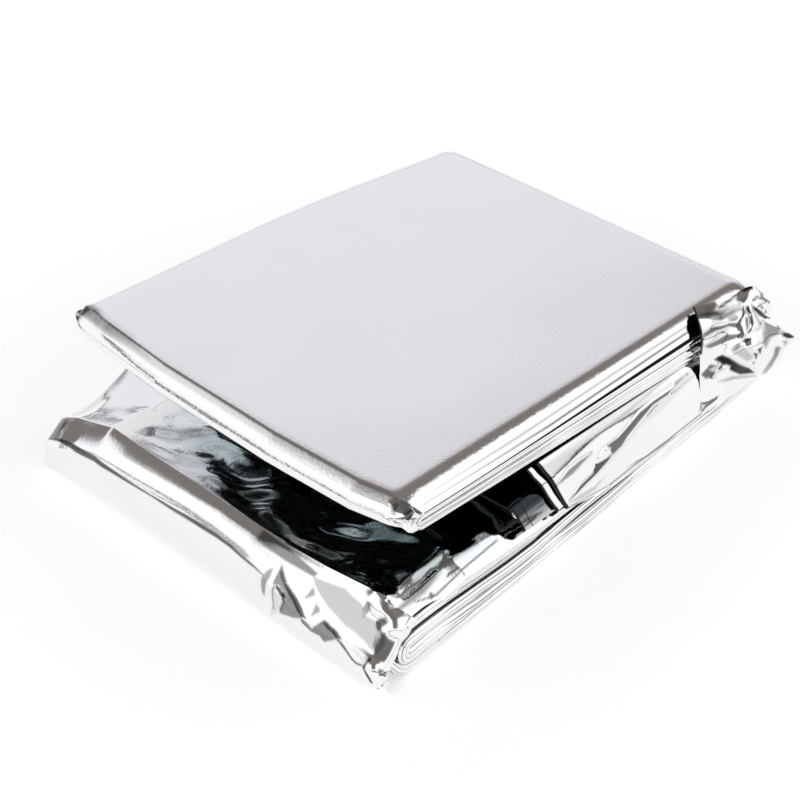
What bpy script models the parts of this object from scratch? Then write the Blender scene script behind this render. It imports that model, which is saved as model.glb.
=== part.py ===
"""Emergency foil blanket, folded to a packet that has sprung half open.

The blanket is folded lengthwise to a strip of many plies, and the strip is folded
back and forth into an upper leaf, a short tongue and a lower leaf. The packet is one
solid: the strip's rounded section, extruded fold by fold along its route.

X runs across the strip, +Y from the open end to the hinge, +Z up. Sizes are in
millimetres until the finished points are placed, and the origin is the centre of the
packet's box at the surface it lies on.
"""

import math

import bmesh
import bpy

MM = 0.001

# Upper leaf: its underside rises from the hinge to the open end, and leans a little across
UNDERSIDE_AT_OPEN_END = 29.9
UNDERSIDE_AT_HINGE = 13.7
LEAF_OPEN_END = -58.0
LEAF_HINGE_END = 58.0
LEAF_LENGTH = LEAF_HINGE_END - LEAF_OPEN_END
HALF_WIDTH = 47.0
LEAN = 0.018  # height lost at the open end for each millimetre of X

# One row for each layer, in the order in which the strip runs through the packet.
# open_y and hinge_y are the layer's two ends. rise_open and rise_hinge are the heights of
# its middle there: above the upper leaf's underside for leaf "upper", above the surface
# for leaf "lower". thick_open and thick_hinge are the bundle of plies, left_x and right_x
# are the strip's two long edges, and fold is the bend that leads to the next layer.
COLUMNS = (
    "leaf", "open_y", "hinge_y", "rise_open", "rise_hinge", "thick_open", "thick_hinge", "left_x", "right_x", "fold"
)
LAYERS = (
    ("upper", -53.4, 52.0, 2.15, 3.20, 1.10, 1.80, -46.2, 42.2, "tight"),  # inner, starts free at the hinge
    ("upper", -53.4, 57.3, 3.60, 5.45, 1.10, 1.80, -46.2, 42.2, "tight"),  # inner
    ("upper", -55.2, 57.3, 5.25, 8.05, 1.40, 2.10, -46.0, 42.6, "leaf"),  # top face
    ("upper", -55.2, 57.0, 0.70, 0.95, 1.10, 1.70, -46.4, 42.4, "tight"),  # underside
    ("lower", -15.5, 57.0, 21.5, 12.90, 1.60, 1.10, -46.4, 43.8, "tight"),  # tongue, top
    ("lower", -15.5, 24.0, 19.55, 15.3, 1.60, 1.05, -46.6, 45.0, "tight"),  # tongue, short ply
    ("lower", -26.5, 24.0, 17.25, 13.92, 1.50, 1.05, -46.8, 45.6, "tight"),  # tongue, short ply
    ("lower", -26.5, 55.4, 15.35, 10.7, 1.50, 1.10, -47.0, 46.0, "tight"),  # tongue, bottom
    ("lower", -62.4, 55.4, 15.3, 9.00, 1.70, 1.40, -46.8, 46.0, "wide"),  # top of the lower leaf
    ("lower", -62.4, 55.6, 1.45, 0.95, 2.90, 1.90, -47.6, 46.6, "tight"),  # bottom, on the surface
    ("lower", -62.6, 55.6, 4.75, 3.10, 2.90, 1.75, -47.6, 46.9, "tight"),  # inner
    ("lower", -62.6, 54.8, 8.05, 5.20, 2.90, 1.70, -47.6, 46.9, "tight"),  # inner
    ("lower", -63.6, 54.8, 11.4, 7.15, 2.90, 1.50, -47.4, 46.9, "tight"),  # inner, ends free at the open end
)
RUN_STEPS = 11  # points along a layer between its two folds
FOLD_STEPS = 6  # points round a fold
# Each bend's depth, in half heights of the fold, and its power: 1 is half an ellipse, less is squarer
FOLDS = {"tight": (0.95, 1.0), "leaf": (0.80, 0.90), "wide": (1.04, 0.78)}

# The strip's section: stations across it, from -1 at its left edge to 1 at its right edge
STATIONS = (-1.0, -0.9, -0.62, 0.0, 0.62, 0.9, 1.0)
EDGE_BULGE = 0.42  # how far the plies' folded edges stand out, in thicknesses

# Unevenness of the packet, as smooth moves that carry every layer along
LIFT_HEIGHT = 6.0  # a point this high moves half as far as one well above the surface
LEAF_MARGIN, LEAF_FADE = 2.5, 3.0  # moves of the upper leaf fade out from this far below its underside
SHOULDER_X, SHOULDER_WIDTH, SHOULDER_DROP = 37.5, 5.5, 1.1  # the top face's right edge rounds off
SHOULDER_LIMIT, SHOULDER_RISE = 1.2, 6.0  # most of the drop, and the height in the leaf that has all of it
BOW_DEPTH, BOW_Y, BOW_LENGTH = 2.6, 8.0, 42.0  # the upper leaf's left edge bows out
CREST_LIFT, CREST_Y, CREST_WIDTH = 3.4, -58.0, 20.0  # the lower leaf's crown near its open end
CREST_MIDDLE, CREST_TILT = 0.85, 0.15  # share of that lift at X 0, and what it gains out to HALF_WIDTH
EAR_CORNER = (47.0, 58.0)  # the crushed hinge corner, drawn out to ears
EARS = ((8.6, 11.0, 9.0, 3.4), (3.2, 18.5, 9.0, 3.0))  # reach, height, spread across, spread upward
PINCH_CORNER, PINCH_SHARE, PINCH_SPREAD = (-48.0, -68.0), 0.38, 13.0  # flattened front corner
WAVE_HEIGHT, WAVE_ACROSS, WAVE_ALONG, WAVE_START = 0.35, 46.0, 96.0, 0.8  # shallow waves over it all
SHARP_ANGLE = 40.0

FOIL_COLOUR = (0.90, 0.90, 0.91, 1.0)
FOIL_ROUGHNESS = 0.12


def bell(distance, spread):
    """1 at no distance, falling smoothly to 0 over about two spreads."""
    return math.exp(-((distance / spread) ** 2))


def mixed(start, end, share):
    return start + (end - start) * share


def underside(y):
    """Height of the upper leaf's underside at y."""
    return mixed(UNDERSIDE_AT_OPEN_END, UNDERSIDE_AT_HINGE, (y - LEAF_OPEN_END) / LEAF_LENGTH)


def layer_point(layer, share):
    """(y, z, thickness, left x, right x) of a layer, from its open end, 0, to its hinge end, 1."""
    z = mixed(layer["rise_open"], layer["rise_hinge"], share)
    y = mixed(layer["open_y"], layer["hinge_y"], share)
    if layer["leaf"] == "upper":
        z += underside(y)
    return y, z, mixed(layer["thick_open"], layer["thick_hinge"], share), layer["left_x"], layer["right_x"]


def fold_points(start, end, side, fold):
    """A bend from one layer's end to the next one's, bulging to side -1 or 1 in y."""
    depth_share, power = FOLDS[fold]
    depth = abs(end[1] - start[1]) / 2 * depth_share
    points = []
    for step in range(1, FOLD_STEPS):
        angle = math.pi * step / FOLD_STEPS
        share = (1 - math.cos(angle)) / 2
        y, *others = (mixed(a, b, share) for a, b in zip(start, end))
        points.append((y + side * depth * math.sin(angle) ** power, *others))
    return points


def route():
    """The strip's middle line, as layer_point gives it, from one free end to the other."""
    points = []
    side, fold = 1, ""
    for row in LAYERS:
        layer = dict(zip(COLUMNS, row))
        shares = [step / RUN_STEPS for step in range(RUN_STEPS + 1)]
        if side > 0:
            shares.reverse()
        run = [layer_point(layer, share) for share in shares]
        if points:
            points += fold_points(points[-1], run[0], side, fold)
        points += run
        side, fold = -side, layer["fold"]
    return points


def section(points, index):
    """One ring of the strip's rounded section, square to the route, as (x, y, z) in order."""
    y, z, thick, left, right = points[index]
    before, after = points[max(index - 1, 0)], points[min(index + 1, len(points) - 1)]
    along_y, along_z = after[0] - before[0], after[1] - before[1]
    length = math.hypot(along_y, along_z)
    out_y, out_z = -along_z / length * thick / 2, along_y / length * thick / 2
    across = [mixed(left, right, (share + 1) / 2) for share in STATIONS]
    ring = [(x, y + out_y, z + out_z) for x in across]
    ring.append((right + EDGE_BULGE * thick, y, z))
    ring += [(x, y - out_y, z - out_z) for x in reversed(across)]
    ring.append((left - EDGE_BULGE * thick, y, z))
    return ring


def settled(x, y, z):
    """Moves a point as the loose packet is uneven, and leaves the surface it lies on flat."""
    lift = z / (z + LIFT_HEIGHT)
    rise = z - underside(y)
    to_hinge = (LEAF_HINGE_END - y) / LEAF_LENGTH
    upper_share = min(max((rise + LEAF_MARGIN) / LEAF_FADE, 0.0), 1.0)
    lower_share = 1 - upper_share
    crest = CREST_LIFT * bell(y - CREST_Y, CREST_WIDTH) * (CREST_MIDDLE + CREST_TILT * x / HALF_WIDTH)
    z += lower_share * lift * crest
    wave = math.sin(x / WAVE_ACROSS * math.tau + WAVE_START) * math.sin(y / WAVE_ALONG * math.tau)
    z += lift * WAVE_HEIGHT * wave
    if x > SHOULDER_X:
        droop = min(((x - SHOULDER_X) / SHOULDER_WIDTH) ** 2, SHOULDER_LIMIT) * to_hinge
        z -= upper_share * SHOULDER_DROP * droop * min(max(rise / SHOULDER_RISE, 0.0), 1.0)
    if x < 0:
        x -= upper_share * BOW_DEPTH * bell(y - BOW_Y, BOW_LENGTH) * -x / HALF_WIDTH
    z -= upper_share * LEAN * x * to_hinge
    pinch = bell(math.hypot(x - PINCH_CORNER[0], y - PINCH_CORNER[1]), PINCH_SPREAD)
    z *= 1 - lower_share * PINCH_SHARE * pinch
    from_corner = math.hypot(x - EAR_CORNER[0], y - EAR_CORNER[1])
    reach = sum(out * bell(from_corner, across) * bell(z - height, upward) for out, height, across, upward in EARS)
    return x + reach / math.sqrt(2), y + reach / math.sqrt(2), z


def blanket_mesh():
    """Extrudes the section's face from ring to ring along the route."""
    points = route()
    rings = [[settled(*corner) for corner in section(points, index)] for index in range(len(points))]
    bm = bmesh.new()
    first_cap = bm.faces.new([bm.verts.new(corner) for corner in rings[0]])
    cap = first_cap
    for ring in rings[1:]:
        moved = bmesh.ops.extrude_face_region(bm, geom=[cap])["geom"]
        if cap is not first_cap:
            bmesh.ops.delete(bm, geom=[cap], context="FACES_ONLY")
        cap = next(item for item in moved if isinstance(item, bmesh.types.BMFace))
        for vertex, corner in zip(cap.verts, ring):
            vertex.co = corner
    bmesh.ops.recalc_face_normals(bm, faces=bm.faces)
    low = [min(vertex.co[axis] for vertex in bm.verts) for axis in range(3)]
    high = [max(vertex.co[axis] for vertex in bm.verts) for axis in range(3)]
    centre = ((low[0] + high[0]) / 2, (low[1] + high[1]) / 2, low[2])
    bmesh.ops.translate(bm, vec=[-value for value in centre], verts=bm.verts)
    bmesh.ops.scale(bm, vec=(MM, MM, MM), verts=bm.verts)
    mesh = bpy.data.meshes.new("foil_blanket")
    bm.to_mesh(mesh)
    bm.free()
    mesh.shade_smooth()
    mesh.set_sharp_from_angle(angle=math.radians(SHARP_ANGLE))
    return mesh


def foil_material():
    material = bpy.data.materials.new("silver_foil")
    material.use_nodes = True
    shader = material.node_tree.nodes["Principled BSDF"]
    shader.inputs["Base Color"].default_value = FOIL_COLOUR
    shader.inputs["Metallic"].default_value = 1.0
    shader.inputs["Roughness"].default_value = FOIL_ROUGHNESS
    return material


def clear_scene():
    for old in list(bpy.data.objects):
        bpy.data.objects.remove(old)


def main():
    clear_scene()
    blanket = bpy.data.objects.new("foil_blanket", blanket_mesh())
    blanket.data.materials.append(foil_material())
    bpy.context.scene.collection.objects.link(blanket)


main()
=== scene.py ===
"""Looks of an emergency foil blanket, folded to a packet that has sprung half open.

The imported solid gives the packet's place and size. Around it stand the bundle of plies
with its folds, the outer foil of the upper and the lower leaf, and the loose foil over
the right side and its hinge corner, each a thin sheet. Sizes are in millimetres in the
strip's own frame: X across the strip, +Y from the open end to the hinge, +Z up. place()
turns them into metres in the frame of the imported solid.
"""

import math

import bpy
import numpy as np
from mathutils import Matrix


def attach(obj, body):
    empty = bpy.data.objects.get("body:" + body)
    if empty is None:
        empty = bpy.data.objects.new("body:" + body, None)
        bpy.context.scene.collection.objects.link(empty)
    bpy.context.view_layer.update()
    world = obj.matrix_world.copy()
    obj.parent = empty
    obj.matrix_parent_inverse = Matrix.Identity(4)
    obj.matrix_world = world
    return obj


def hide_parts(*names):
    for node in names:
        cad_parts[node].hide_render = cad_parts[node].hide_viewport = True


MM = 0.001
BOX_CENTRE = np.array([1.23, -4.20, 0.0])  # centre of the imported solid's box, in the strip's frame

# Camera, in the strip's frame
CAMERA_AT = (189.515, -221.373, 239.583)
CAMERA_TARGET = (3.94, -15.27, 15.0)
LENS, SENSOR = 77.4, 36.0
IMAGE_SIZE = 800  # pixels each way
NEAREST = 0.01


def place(points):
    """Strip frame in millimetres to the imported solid's frame in metres."""
    return (np.asarray(points, float) - BOX_CENTRE) * MM


def bell(distance, spread):
    return np.exp(-((distance / spread) ** 2))


def mixed(start, end, share):
    return start + (end - start) * share


def fade(value, start, end):
    """0 up to start and 1 from end on, in a straight line between them."""
    return np.clip((value - start) / (end - start), 0.0, 1.0)


# ---------------------------------------------------------------- the strip's route

UNDERSIDE_AT_OPEN_END = 29.9
UNDERSIDE_AT_HINGE = 13.7
LEAF_OPEN_END = -58.0
LEAF_HINGE_END = 58.0
LEAF_LENGTH = LEAF_HINGE_END - LEAF_OPEN_END
LEAN = 0.018  # height lost at the open end for each millimetre of X

# One row for each layer of the strip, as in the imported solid
COLUMNS = (
    "leaf", "open_y", "hinge_y", "rise_open", "rise_hinge", "thick_open", "thick_hinge",
    "left_x", "right_x", "fold",
)
LAYERS = (
    ("upper", -52.6, 52.0, 2.35, 3.50, 1.35, 2.20, -46.2, 42.7, "tight"),
    ("upper", -52.6, 57.3, 3.62, 5.55, 1.00, 1.70, -46.0, 42.5, "tight"),
    ("upper", -52.6, 57.0, 4.90, 7.60, 1.00, 1.80, -44.6, 35.4, "leaf"),
    ("upper", -52.6, 57.0, 0.95, 1.15, 1.10, 2.00, -46.0, 42.6, "tight"),
    ("lower", -15.5, 57.0, 21.5, 12.90, 1.60, 1.10, -46.4, 41.8, "tight"),
    ("lower", -15.5, 24.0, 19.55, 15.3, 1.60, 1.05, -46.6, 42.6, "tight"),
    ("lower", -26.5, 24.0, 17.10, 13.92, 1.40, 1.05, -46.8, 43.6, "tight"),
    ("lower", -26.5, 55.4, 15.35, 10.7, 1.40, 1.10, -47.0, 44.6, "tight"),
    ("lower", -59.4, 55.4, 12.7, 9.00, 1.20, 1.40, -43.2, 41.4, "wide"),
    ("lower", -59.8, 55.6, 1.50, 0.95, 2.70, 1.90, -46.6, 46.2, "tight"),
    ("lower", -61.0, 55.6, 4.65, 3.10, 2.90, 1.75, -46.6, 46.9, "tight"),
    ("lower", -61.0, 54.8, 7.75, 5.20, 2.80, 1.70, -46.6, 46.9, "tight"),
    ("lower", -61.2, 54.8, 10.4, 7.15, 2.30, 1.50, -46.2, 46.2, "tight"),
)
RUN_STEPS = 44
FOLD_STEPS = 10
FOLDS = {"tight": (0.95, 1.0), "leaf": (0.70, 0.95), "wide": (0.88, 0.85)}  # depth in half heights, power

# Unevenness of the packet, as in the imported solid
LIFT_HEIGHT = 6.0
LEAF_MARGIN, LEAF_FADE = 2.5, 3.0
HALF_WIDTH = 47.0
SHOULDER_X, SHOULDER_WIDTH, SHOULDER_DROP = 37.5, 5.5, 1.1
SHOULDER_LIMIT, SHOULDER_RISE = 1.2, 6.0
BOW_DEPTH, BOW_Y, BOW_LENGTH = 2.6, 8.0, 42.0
CREST_LIFT, CREST_Y, CREST_WIDTH = 3.4, -58.0, 20.0
CREST_MIDDLE, CREST_TILT = 0.85, 0.15
EAR_CORNER = (47.0, 58.0)
EARS = ((8.6, 11.0, 9.0, 3.4), (3.2, 18.5, 9.0, 3.0))
PINCH_CORNER, PINCH_SHARE, PINCH_SPREAD = (-48.0, -68.0), 0.38, 13.0
WAVE_HEIGHT, WAVE_ACROSS, WAVE_ALONG, WAVE_START = 0.35, 46.0, 96.0, 0.8


def underside(y):
    """Height of the upper leaf's underside at y."""
    return mixed(UNDERSIDE_AT_OPEN_END, UNDERSIDE_AT_HINGE, (y - LEAF_OPEN_END) / LEAF_LENGTH)


def settled(points, shoulder=True, wavy=1.0):
    """Moves points as the loose packet is uneven, and leaves the surface it lies on flat."""
    x, y, z = (np.array(points[..., axis], float) for axis in range(3))
    lift = z / (z + LIFT_HEIGHT)
    rise = z - underside(y)
    to_hinge = (LEAF_HINGE_END - y) / LEAF_LENGTH
    upper_share = np.clip((rise + LEAF_MARGIN) / LEAF_FADE, 0.0, 1.0)
    lower_share = 1 - upper_share
    crest = CREST_LIFT * bell(y - CREST_Y, CREST_WIDTH) * (CREST_MIDDLE + CREST_TILT * x / HALF_WIDTH)
    z += lower_share * lift * crest
    wave = np.sin(x / WAVE_ACROSS * math.tau + WAVE_START) * np.sin(y / WAVE_ALONG * math.tau)
    z += lift * WAVE_HEIGHT * wave * wavy
    if shoulder:
        past = np.clip((x - SHOULDER_X) / SHOULDER_WIDTH, 0.0, None)
        droop = np.minimum(past**2, SHOULDER_LIMIT) * to_hinge
        z -= upper_share * SHOULDER_DROP * droop * np.clip(rise / SHOULDER_RISE, 0.0, 1.0)
    x -= upper_share * BOW_DEPTH * bell(y - BOW_Y, BOW_LENGTH) * np.clip(-x / HALF_WIDTH, 0.0, None)
    z -= upper_share * LEAN * x * to_hinge
    pinch = bell(np.hypot(x - PINCH_CORNER[0], y - PINCH_CORNER[1]), PINCH_SPREAD)
    z *= 1 - lower_share * PINCH_SHARE * pinch
    from_corner = np.hypot(x - EAR_CORNER[0], y - EAR_CORNER[1])
    reach = sum(
        out * bell(from_corner, across) * bell(z - height, upward) for out, height, across, upward in EARS
    )
    return np.stack([x + reach / math.sqrt(2), y + reach / math.sqrt(2), z], axis=-1)


def layer_point(layer, share):
    """(y, z, thickness, left x, right x) of a layer, from its open end, 0, to its hinge end, 1."""
    z = mixed(layer["rise_open"], layer["rise_hinge"], share)
    y = mixed(layer["open_y"], layer["hinge_y"], share)
    if layer["leaf"] == "upper":
        z += underside(y)
    return y, z, mixed(layer["thick_open"], layer["thick_hinge"], share), layer["left_x"], layer["right_x"]


def fold_points(start, end, side, fold):
    """A bend from one layer's end to the next one's, bulging to side -1 or 1 in y."""
    depth_share, power = FOLDS[fold]
    depth = abs(end[1] - start[1]) / 2 * depth_share
    points = []
    for step in range(1, FOLD_STEPS):
        angle = math.pi * step / FOLD_STEPS
        y, *others = (mixed(a, b, (1 - math.cos(angle)) / 2) for a, b in zip(start, end))
        points.append((y + side * depth * math.sin(angle) ** power, *others))
    return points


def route():
    """The strip's middle line, as layer_point gives it, from one free end to the other."""
    points = []
    side, fold = 1, ""
    for row in LAYERS:
        layer = dict(zip(COLUMNS, row))
        shares = [step / RUN_STEPS for step in range(RUN_STEPS + 1)]
        if side > 0:
            shares.reverse()
        run = [layer_point(layer, share) for share in shares]
        if points:
            points += fold_points(points[-1], run[0], side, fold)
        points += run
        side, fold = -side, layer["fold"]
    return np.array(points)


# ---------------------------------------------------------------- mesh helpers

SHARP_ANGLE = 38.0
RELIEF_EDGE = 0.6  # how much softer a facet's relief is at its edge than its shade


def new_piece(name, points, faces, coordinates, material, attributes):
    """A mesh object from points in the strip's frame, with a UV map in metres and point attributes."""
    mesh = bpy.data.meshes.new(name)
    mesh.from_pydata(place(points).tolist(), [], faces)
    corner_vertices = np.empty(len(mesh.loops), np.int32)
    mesh.loops.foreach_get("vertex_index", corner_vertices)
    layer = mesh.uv_layers.new(name="foil")
    layer.data.foreach_set("uv", (coordinates * MM)[corner_vertices].astype(np.float32).ravel())
    for label, values in attributes.items():
        attribute = mesh.attributes.new(label, "FLOAT", "POINT")
        attribute.data.foreach_set("value", np.asarray(values, np.float32).ravel())
    mesh.shade_smooth()
    mesh.set_sharp_from_angle(angle=math.radians(SHARP_ANGLE))
    mesh.materials.append(material)
    piece = bpy.data.objects.new(name, mesh)
    bpy.context.scene.collection.objects.link(piece)
    return piece


def grid_normals(grid):
    """Unit normals of a grid of points, on the side where rows cross columns."""
    along = np.gradient(grid, axis=0)
    across = np.gradient(grid, axis=1)
    normals = np.cross(along, across)
    return normals / np.maximum(np.linalg.norm(normals, axis=-1, keepdims=True), 1e-9)


def raised(grid, height):
    """The grid moved out along its normals."""
    return grid + grid_normals(grid) * height[..., None]


def with_x(x, profile):
    """Points of a sheet from the x of its columns and its rows of (y, z)."""
    return np.concatenate([np.broadcast_to(x[None, :, None], (*profile.shape[:2], 1)), profile], axis=-1)


def grid_faces(rows, columns, offset=0, turned=False):
    first = (np.arange(rows - 1)[:, None] * columns + np.arange(columns - 1)).ravel() + offset
    quads = np.stack([first, first + columns, first + columns + 1, first + 1], axis=-1)
    return quads[:, ::-1] if turned else quads


def closed_sheet(name, grid, coordinates, thickness, material, **attributes):
    """A thin closed sheet whose outer side is the grid, on the side that grid_normals gives."""
    rows, columns = grid.shape[:2]
    count = rows * columns
    inner = grid - grid_normals(grid) * thickness
    faces = [grid_faces(rows, columns), grid_faces(rows, columns, count, turned=True)]
    index = np.arange(count).reshape(rows, columns)
    rim = np.concatenate([index[:, 0], index[-1, 1:], index[-2::-1, -1], index[0, -2:0:-1]])
    after = np.roll(rim, -1)
    faces.append(np.stack([after, rim, rim + count, after + count], axis=-1))
    points = np.concatenate([grid.reshape(-1, 3), inner.reshape(-1, 3)])
    both = np.concatenate([np.stack(coordinates, axis=-1).reshape(-1, 2)] * 2)
    doubled = {label: np.concatenate([np.ravel(values)] * 2) for label, values in attributes.items()}
    return new_piece(name, points, np.concatenate(faces).tolist(), both, material, doubled)


def smooth_rows(keys, steps):
    """Rows on a Catmull-Rom curve through the key rows, an array of (key, column, value)."""
    keys = np.asarray(keys, float)
    before = np.concatenate([2 * keys[:1] - keys[1:2], keys[:-1]])
    after = np.concatenate([keys[1:], 2 * keys[-1:] - keys[-2:-1]])
    tangents = (after - before) / 2
    rows = []
    for index, count in enumerate(steps):
        for step in range(count):
            t = step / count
            rows.append(
                keys[index] * (2 * t**3 - 3 * t**2 + 1)
                + tangents[index] * (t**3 - 2 * t**2 + t)
                + keys[index + 1] * (3 * t**2 - 2 * t**3)
                + tangents[index + 1] * (t**3 - t**2)
            )
    rows.append(keys[-1])
    return np.array(rows)


def joined_rows(*parts):
    """Parts of a profile that meet in a crease: each next part starts at the last part's end."""
    return np.concatenate([parts[0], *(part[1:] for part in parts[1:])])


def run_length(grid):
    """Length along each column from the first row, in millimetres."""
    steps = np.linalg.norm(np.diff(grid, axis=0), axis=-1)
    return np.concatenate([np.zeros((1, grid.shape[1])), np.cumsum(steps, axis=0)])


def nearest_share(across, along, start, span):
    """How far along a line its nearest point lies, from 0 at its start to 1 at its end."""
    share = ((across - start[0]) * span[0] + (along - start[1]) * span[1]) / (span[0] ** 2 + span[1] ** 2)
    return np.clip(share, 0.0, 1.0)


def distance_to(across, along, start, end):
    """Distance to the line from start to end."""
    span = (end[0] - start[0], end[1] - start[1])
    near = nearest_share(across, along, start, span)
    return np.hypot(across - start[0] - near * span[0], along - start[1] - near * span[1])


def fold_field(across, along, folds):
    """Height of soft folds: each row is (across, along) of its start and its end, its height and width."""
    total = np.zeros_like(across)
    for start_x, start_s, end_x, end_s, height, width in folds:
        total += height * bell(distance_to(across, along, (start_x, start_s), (end_x, end_s)), width)
    return total


def patch_depth(across, along, corners):
    """Distance inside the edge of the patch with these corners, less than nothing outside it."""
    inside = np.zeros(across.shape, bool)
    away = np.full(across.shape, np.inf)
    for start, end in zip(corners, corners[1:] + corners[:1]):
        crosses = (start[1] > along) != (end[1] > along)
        slope = (end[0] - start[0]) / ((end[1] - start[1]) or 1.0)
        inside ^= crosses & (across < start[0] + (along - start[1]) * slope)
        away = np.minimum(away, distance_to(across, along, start, end))
    return np.where(inside, away, -away)


def facet_fields(across, along, facets):
    """Height and shade of facets: each row is its height, its shade, the softness of the shade's edge and its
    corners in order. The height's edge is softer. Later rows lie over earlier ones."""
    height, shade = np.zeros_like(across), np.zeros_like(across)
    for lift, dark, soft, corners in facets:
        depth = patch_depth(across, along, corners)
        height += lift * np.clip(0.5 + depth / (soft + RELIEF_EDGE), 0.0, 1.0)
        shade = mixed(shade, dark, np.clip(0.5 + depth / soft, 0.0, 1.0))
    return height, shade


def swirl_field(across, along, waves):
    """Soft liquid streaks: each row is a wavelength, its direction in degrees, its bend, the bend's length
    and its height."""
    total = np.zeros_like(across)
    for length, turn, bend, bend_length, height in waves:
        angle = math.radians(turn)
        run = across * math.cos(angle) + along * math.sin(angle)
        side = along * math.cos(angle) - across * math.sin(angle)
        bent = run + bend * np.sin(side / bend_length * math.tau + turn)
        total += height * np.sin(bent / length * math.tau)
    return total


# ---------------------------------------------------------------- materials

FOIL = (0.905, 0.905, 0.915)
# Painted shade and reflection in gaps and fold mouths: the foil turns to this teal where its gap shade is 1
GAP_SHADE_TEAL = (0.52, 0.63, 0.65)
# Painted shade in the gaps between the layers of plies
PAINTED_CREVICE_SHADE = (0.030, 0.030, 0.032)
# Painted shade and reflection on the tongue's face, darkest furthest in
TONGUE_GAP_SHADE = (0.030, 0.040, 0.046)
# Painted shade in the fine gaps between ply edges
PLY_GAP_SHADE = (0.10, 0.08, 0.068)
# Painted shade and reflection of folded facets: the foil darkens to this where the attribute shade is 1
SHADED_FOLD = (0.024, 0.021, 0.019)
SATIN_ROUGHNESS = 0.16
SCRATCH_HEIGHT = 0.5
BUMP_DISTANCE = 0.00004
# Fine lines of painted shade between ply edges: how many round an edge, how far they wander, how dark,
# and their sharpness
LINE_COUNT, LINE_DRIFT, LINE_DARKNESS, LINE_SHARPNESS = 26.0, 14.0, 0.95, 0.35
LINE_LIMIT, LINE_LIMIT_CHANGE = 1.75, -2.2  # height of the wave above which a line shows, and its change
LINES_START = 0.02  # the attribute round has to be above this
GRAIN = {"Detail": 3.0}
SCRATCHES = {"Scale": 160.0, "Distortion": 14.0, "Detail": 3.0, "Detail Scale": 2.2}
CLOUDS = {"Scale": 60.0, "Detail": 2.0}
LINE_NOISE = {"Scale": 38.0, "Detail": 3.0}


def add_node(tree, kind, inputs=(), **settings):
    """A node with these settings, and with inputs set to numbers or linked to other nodes' sockets."""
    node = tree.nodes.new(kind)
    for setting, value in settings.items():
        setattr(node, setting, value)
    for key, value in dict(inputs).items():
        if isinstance(value, bpy.types.NodeSocket):
            tree.links.new(value, node.inputs[key])
        else:
            node.inputs[key].default_value = value
    return node


def maths(tree, operation, *values):
    return add_node(tree, "ShaderNodeMath", enumerate(values), operation=operation).outputs["Value"]


def blended(tree, share, first, second):
    """A colour mixed from two, each a colour or another node's socket."""
    pair = ((*value, 1.0) if isinstance(value, tuple) else value for value in (first, second))
    inputs = dict(zip((0, 6, 7), (share, *pair)))
    return add_node(tree, "ShaderNodeMix", inputs, data_type="RGBA").outputs[2]


def point_value(tree, label):
    return add_node(tree, "ShaderNodeAttribute", attribute_name=label).outputs["Fac"]


def own_place(tree):
    return add_node(tree, "ShaderNodeTexCoord").outputs["Object"]


def grain_group():
    """Fine grain of drawn foil: height and a roughness change, from the object's own coordinates."""
    group = bpy.data.node_groups.new("foil_grain", "ShaderNodeTree")
    face = group.interface
    for label in ("Size", "Roughness", "Change"):
        face.new_socket(label, in_out="INPUT", socket_type="NodeSocketFloat")
    for label in ("Height", "Roughness"):
        face.new_socket(label, in_out="OUTPUT", socket_type="NodeSocketFloat")
    given = add_node(group, "NodeGroupInput").outputs
    where = own_place(group)
    fine = {"Vector": where, "Scale": given["Size"], **GRAIN}
    grain = add_node(group, "ShaderNodeTexNoise", fine).outputs["Fac"]
    scratches = add_node(group, "ShaderNodeTexWave", {"Vector": where, **SCRATCHES}).outputs["Fac"]
    cloudy = add_node(group, "ShaderNodeTexNoise", {"Vector": where, **CLOUDS}).outputs["Fac"]
    height = maths(group, "MULTIPLY_ADD", scratches, SCRATCH_HEIGHT, grain)
    rough = maths(group, "MULTIPLY_ADD", cloudy, given["Change"], given["Roughness"])
    add_node(group, "NodeGroupOutput", {"Height": height, "Roughness": rough})
    return group


def foil_material(name, group, roughness, change, bump, grain_size, deep_colour=GAP_SHADE_TEAL):
    """Foil, by its point attributes: satin where satin is 1, painted shade of gaps and fold mouths where the
    gap shade attribute is 1, and painted shade and reflection of folded facets where shade is 1."""
    material = bpy.data.materials.new(name)
    material.use_nodes = True
    tree = material.node_tree
    inputs = {"Size": grain_size, "Roughness": roughness, "Change": change}
    grain = add_node(tree, "ShaderNodeGroup", inputs, node_tree=group).outputs
    rough = maths(tree, "MULTIPLY_ADD", point_value(tree, "satin"), SATIN_ROUGHNESS, grain["Roughness"])
    # painted gap shade: the foil darkens in gaps and fold mouths
    with_gap_shade = blended(tree, point_value(tree, "deep"), FOIL, deep_colour)
    # painted shade and reflection of folded facets
    colour = blended(tree, point_value(tree, "shade"), with_gap_shade, SHADED_FOLD)
    inputs = {"Strength": bump, "Distance": BUMP_DISTANCE, "Height": grain["Height"]}
    relief = add_node(tree, "ShaderNodeBump", inputs).outputs["Normal"]
    shader = tree.nodes["Principled BSDF"].inputs
    shader["Metallic"].default_value = 1.0
    for label, value in (("Roughness", rough), ("Base Color", colour), ("Normal", relief)):
        tree.links.new(value, shader[label])
    return material


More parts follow.
